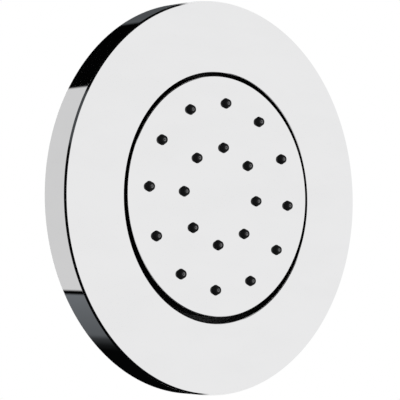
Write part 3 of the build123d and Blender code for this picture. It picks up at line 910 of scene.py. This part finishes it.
class JET_OT_cut_gasket(Operator):
    """Cut the foam gasket that seals the mounting ring to the wall."""

    bl_idname = "jet.cut_gasket"
    bl_label = "Cut the gasket"

    def execute(self, context):
        inside = context.scene.jet_wall.gasket_inside
        ends = (gasket_low.y, gasket_high.y)
        profile = ring_profile(inside, gasket_high.x, *ends, (0.1, 0.1, 0.35, 0.35))
        gasket = spin_piece("wall_gasket_cut", profile, steps=256)
        hand_over(gasket, "wall_gasket", "base", "gasket_foam")
        return {"FINISHED"}


class JET_OT_turn_connector(Operator):
    """Turn the brass connector: bored ball, neck, hexagon, shank and inlet, both with their threads."""

    bl_idname = "jet.turn_connector"
    bl_label = "Turn the connector"

    def execute(self, context):
        size = context.scene.jet_connector
        shank = (size.shank_radius, size.hex_back + MM, size.shank_back, size.shank_pitch)
        thread_front = size.shank_back + size.relief_width
        inlet = (size.thread_radius, thread_front, inlet_end, size.thread_pitch)
        neck_back = size.hex_front + 0.5 * MM
        fillet = 0.2 * MM
        profile = [
            *self.ball_arc(size, context.scene.jet_head.ball_centre, steps=40),
            (size.neck_radius, neck_back),
            (size.shank_radius, neck_back),
            *thread_profile(*shank, size.thread_chamfer, rows=10, chamfer_rows=12),
            (size.relief_radius, size.shank_back, fillet),
            (size.relief_radius, thread_front),
            *thread_profile(*inlet, size.thread_chamfer),
            (size.inlet_bore, inlet_end, SOFT),
            (size.inlet_bore, size.inlet_floor, SOFT),
            (size.ball_bore, size.inlet_floor, fillet),
        ]
        connector = spin_piece("ball_connector_turned", profile, steps=128)
        cut_thread(connector, *shank, size.shank_groove)
        cut_thread(connector, *inlet, size.thread_groove)
        bore = size.neck_radius - 0.3 * MM
        hexagon = hexagon_piece("hexagon", size.hex_flats, size.hex_front, size.hex_back, bore)
        combine(connector, hexagon, "UNION")
        hand_over(connector, "ball_connector", "base", "turned_brass")
        return {"FINISHED"}

    def ball_arc(self, size, centre, steps):
        """Profile points of the ball, from the edge of its waterway to the neck."""
        ball = size.ball_radius
        first = atan2(size.ball_bore, -((ball**2 - size.ball_bore**2) ** 0.5))
        last = atan2(size.neck_radius, (ball**2 - size.neck_radius**2) ** 0.5)
        turns = [first + (last - first) * index / steps for index in range(steps + 1)]
        return [(ball * sin(turn), centre + ball * cos(turn)) for turn in turns]


class JET_OT_make_clamp(Operator):
    """Make the lock nut and the washer that clamp the cup on the connector."""

    bl_idname = "jet.make_clamp"
    bl_label = "Make nut and washer"

    def execute(self, context):
        size = context.scene.jet_connector
        nut = hexagon_piece("lock_nut_milled", size.hex_flats, nut_low.y, nut_high.y, size.nut_bore)
        hand_over(nut, "lock_nut", "base", "turned_brass")
        ends = (washer_low.y, washer_high.y)
        profile = ring_profile(size.washer_bore, washer_high.x, *ends, (0.12, 0.12, 0.3, 0.2))
        washer = spin_piece("lock_washer_stamped", profile, steps=128)
        hand_over(washer, "lock_washer", "base", "stainless")
        return {"FINISHED"}


class JET_OT_mould_filter_washer(Operator):
    """Mould the rubber washer at the inlet, with the groove that holds the strainer."""

    bl_idname = "jet.mould_filter_washer"
    bl_label = "Mould the filter washer"

    def execute(self, context):
        size = context.scene.jet_connector
        ends = (filter_low.y, filter_high.y)
        seat_front = sum(ends) / 2 - size.mesh_wall / 2
        seat_back = sum(ends) / 2 + size.mesh_wall / 2
        lip = 0.1 * MM
        profile = [
            *ring_profile(size.filter_bore, filter_high.x, *ends, (0.2, 0.2, 0.3, 0.3)),
            (size.filter_bore, seat_back, lip),
            (size.mesh_seat, seat_back),
            (size.mesh_seat, seat_front),
            (size.filter_bore, seat_front, lip),
        ]
        washer = spin_piece("filter_washer_moulded", profile, steps=96)
        hand_over(washer, "filter_washer", "base", "black_nitrile")
        return {"FINISHED"}


class JET_OT_finish_inner_pieces(Operator):
    """Give every piece that keeps its CAD shape the finish of its material slot."""

    bl_idname = "jet.finish_inner_pieces"
    bl_label = "Finish the inner pieces"

    def execute(self, context):
        slots = {row["node"]: row["material_slot"] for row in frame["record"]["subparts"]}
        for name, node in frame["nodes"].items():
            if node.hide_render:
                continue
            node.data.materials.clear()
            node.data.materials.append(finish_of(slots[name]))
        return {"FINISHED"}


# Tones of the studio round the jet's axis: degrees up from the left, and level
REAR_TONES = [
    (-180.0, 0.001), (-103.0, 0.0018), (-98.0, 0.0098), (-92.5, 0.045), (-89.5, 0.115), (-72.0, 0.15),
    (-60.2, 0.18), (-59.8, 0.001), (-57.6, 0.001), (-57.2, 0.745), (69.6, 0.745), (70.2, 0.0008),
    (125.4, 0.0008), (128.6, 0.095), (134.0, 0.085), (180.0, 0.08),
]
FLAG_TONES = [(-180.0, 0.002), (24.0, 0.002), (27.0, 0.075), (51.5, 0.075), (53.0, 0.002)]


def tone_wheel(tree, share, tones):
    """Tones round the jet's axis, from (degrees, level) stops; the dark ones are a little blue."""
    ramp = put(tree, "ShaderNodeValToRGB", {"Fac": share})
    points = ramp.color_ramp.elements
    while len(points) < len(tones):
        points.new(0.5)
    for point, (place, tone) in zip(points, tones):
        tint = (1.0, 1.0, 1.0) if tone > 0.5 else (0.93, 1.0, 1.07)
        point.position = place / 360.0 + 0.5
        point.color = [tone * part for part in tint] + [1.0]
    return ramp.outputs["Color"]


def studio_reflection(tree):
    """What polished metal sees in the studio, by direction: white in front and to the right, black flags
    above, below and to the left, and behind the jet a light panel with grey cards at both of its ends."""
    direction = put(tree, "ShaderNodeTexCoord").outputs["Generated"]
    x, y, z = put(tree, "ShaderNodeSeparateXYZ", {0: direction}).outputs
    turn = calc(tree, "ARCTAN2", z, calc(tree, "MULTIPLY", x, -1.0))
    share = calc(tree, "MULTIPLY_ADD", turn, 1.0 / tau, 0.5)
    behind = tone_wheel(tree, share, REAR_TONES)
    flags = tone_wheel(tree, share, FLAG_TONES)
    right = spread(tree, calc(tree, "MULTIPLY_ADD", z, 0.085, x), 0.52, 0.58)
    beside = spread(tree, y, -0.42, -0.36)
    left = calc(tree, "MULTIPLY", beside, spread(tree, x, 0.1, 0.0))
    below = calc(tree, "MULTIPLY", beside, spread(tree, z, -0.6, -0.68))
    shade = calc(tree, "MAXIMUM", calc(tree, "MAXIMUM", left, below), spread(tree, z, 0.6, 0.68))
    shade = calc(tree, "MULTIPLY", shade, calc(tree, "SUBTRACT", 1.0, right))
    low = spread(tree, calc(tree, "ADD", z, right), -0.3, -0.9, 1.0, 0.45, smooth=True)
    square = spread(tree, calc(tree, "ABSOLUTE", y), 0.15, 0.05)
    ends = spread(tree, calc(tree, "ABSOLUTE", z), 0.1, 0.85, 0.0, 0.85, smooth=True)
    low = calc(tree, "MULTIPLY", low, calc(tree, "SUBTRACT", 1.0, calc(tree, "MULTIPLY", square, ends)))
    front = blend(tree, shade, blend(tree, low, BLACK, WHITE), flags)
    return blend(tree, spread(tree, y, 0.66, 0.7), front, behind)


class JET_OT_set_stage(Operator):
    """Set up the floor, the studio, the lamps and the camera."""

    bl_idname = "jet.set_stage"
    bl_label = "Set the stage"

    def execute(self, context):
        size = context.scene.jet_stage
        self.lay_floor(context, size)
        self.light_studio(context, size)
        self.hang_lamp("Key lamp", (-0.55, -0.75, 0.6), 0.7, size.key_power)
        self.hang_lamp("Rear lamp", (-0.3, 0.85, 0.55), 0.7, size.rear_power)
        self.place_camera(context, size)
        context.scene.view_settings.view_transform = "Standard"
        return {"FINISHED"}

    def lay_floor(self, context, size):
        """Round pale floor whose edge fades out."""
        radius = size.floor_radius
        outline = {"vertices": 96, "radius": radius, "fill_type": "NGON"}
        floor = add(bpy.ops.mesh.primitive_circle_add, "floor", **outline)
        settle(floor, Matrix.Translation((0.0, 0.0, -size.floor_drop)))
        material = bpy.data.materials.new("pale_floor")
        material.use_nodes = True
        tree = material.node_tree
        tree.nodes.clear()
        place = put(tree, "ShaderNodeTexCoord").outputs["Object"]
        away = put(tree, "ShaderNodeVectorMath", {0: place}, operation="LENGTH").outputs["Value"]
        cover = spread(tree, away, radius, 0.3 * radius, smooth=True)
        pale = opaque(context.scene.jet_finishes.floor)
        tint = blend(tree, noise(tree, place, 40.0), pale, opaque(WHITE, 0.88))
        matt = put(tree, "ShaderNodeBsdfDiffuse", {"Color": tint}).outputs[0]
        clear = put(tree, "ShaderNodeBsdfTransparent").outputs[0]
        mixed = put(tree, "ShaderNodeMixShader", {0: cover, 1: clear, 2: matt}).outputs[0]
        put(tree, "ShaderNodeOutputMaterial", {"Surface": mixed})
        floor.data.materials.append(material)
        floor.visible_glossy = False

    def light_studio(self, context, size):
        """World: white for the camera, the studio for polished surfaces, and an even light for the rest."""
        world = bpy.data.worlds.new("Studio")
        world.use_nodes = True
        tree = world.node_tree
        tree.nodes.clear()
        path = put(tree, "ShaderNodeLightPath").outputs
        even = opaque(WHITE, size.fill_level)
        seen = blend(tree, path["Is Glossy Ray"], even, studio_reflection(tree))
        shown = blend(tree, path["Is Camera Ray"], seen, WHITE)
        light = put(tree, "ShaderNodeBackground", {"Color": shown, "Strength": 1.0}).outputs[0]
        put(tree, "ShaderNodeOutputWorld", {"Surface": light})
        context.scene.world = world

    def hang_lamp(self, name, place, width, power):
        """Soft square lamp that looks at the jet."""
        aim = (-Vector(place)).to_track_quat("-Z", "Y").to_euler()
        lamp = add(bpy.ops.object.light_add, name, type="AREA", location=place, rotation=aim)
        lamp.data.size = width
        lamp.data.energy = power
        lamp.visible_glossy = False
        lamp.visible_camera = False

    def place_camera(self, context, size):
        """Camera in front to the left, at the photograph's place."""
        aim = Matrix.Translation((size.camera_aim_x, 0.0, size.camera_aim_z))
        turn = turned((-size.camera_left, "Z"), (pi / 2 - size.camera_up, "X"), (size.camera_roll, "Z"))
        camera = add(bpy.ops.object.camera_add, "Camera")
        camera.matrix_world = aim @ turn @ Matrix.Translation((0.0, 0.0, size.camera_distance))
        camera.data.sensor_width = 36.0
        camera.data.lens = size.camera_lens
        camera.data.clip_start = 0.01
        camera.data.clip_end = 10.0
        context.scene.camera = camera


class JET_PT_sidebar(Panel):
    """Sizes, finishes and making steps of the body jet."""

    bl_idname = "JET_PT_sidebar"
    bl_label = "Shower Body Jet"
    bl_space_type = "VIEW_3D"
    bl_region_type = "UI"
    bl_category = "Body Jet"

    def draw(self, context):
        layout = self.layout
        for step in STEPS:
            layout.operator(step.bl_idname)
        for attribute, group in SETTINGS.items():
            box = layout.box()
            box.label(text=group.__doc__)
            for key in group.__annotations__:
                box.prop(getattr(context.scene, attribute), key)


SETTINGS = {
    "jet_cover": JetCoverSizes,
    "jet_head": JetHeadSizes,
    "jet_wall": JetWallSizes,
    "jet_connector": JetConnectorSizes,
    "jet_finishes": JetFinishes,
    "jet_stage": JetStage,
}

STEPS = (
    JET_OT_turn_cover,
    JET_OT_drill_plate,
    JET_OT_mould_nozzles,
    JET_OT_mould_cup,
    JET_OT_mould_ring,
    JET_OT_cut_gasket,
    JET_OT_turn_connector,
    JET_OT_make_clamp,
    JET_OT_mould_filter_washer,
    JET_OT_finish_inner_pieces,
    JET_OT_set_stage,
)

CLASSES = (*SETTINGS.values(), *STEPS, JET_PT_sidebar)


def register():
    """Add the settings, the making steps and the panel."""
    for each in CLASSES:
        bpy.utils.register_class(each)
    for attribute, group in SETTINGS.items():
        setattr(bpy.types.Scene, attribute, PointerProperty(type=group))


def unregister():
    """Take the panel, the making steps and the settings away again."""
    for attribute in SETTINGS:
        delattr(bpy.types.Scene, attribute)
    for each in reversed(CLASSES):
        bpy.utils.unregister_class(each)


def main():
    """Make every piece and the stage."""
    register()
    bpy.ops.jet.turn_cover()
    bpy.ops.jet.drill_plate()
    bpy.ops.jet.mould_nozzles()
    bpy.ops.jet.mould_cup()
    bpy.ops.jet.mould_ring()
    bpy.ops.jet.cut_gasket()
    bpy.ops.jet.turn_connector()
    bpy.ops.jet.make_clamp()
    bpy.ops.jet.mould_filter_washer()
    bpy.ops.jet.finish_inner_pieces()
    bpy.ops.jet.set_stage()
    bpy.context.view_layer.update()


if __name__ == "__main__":
    main()
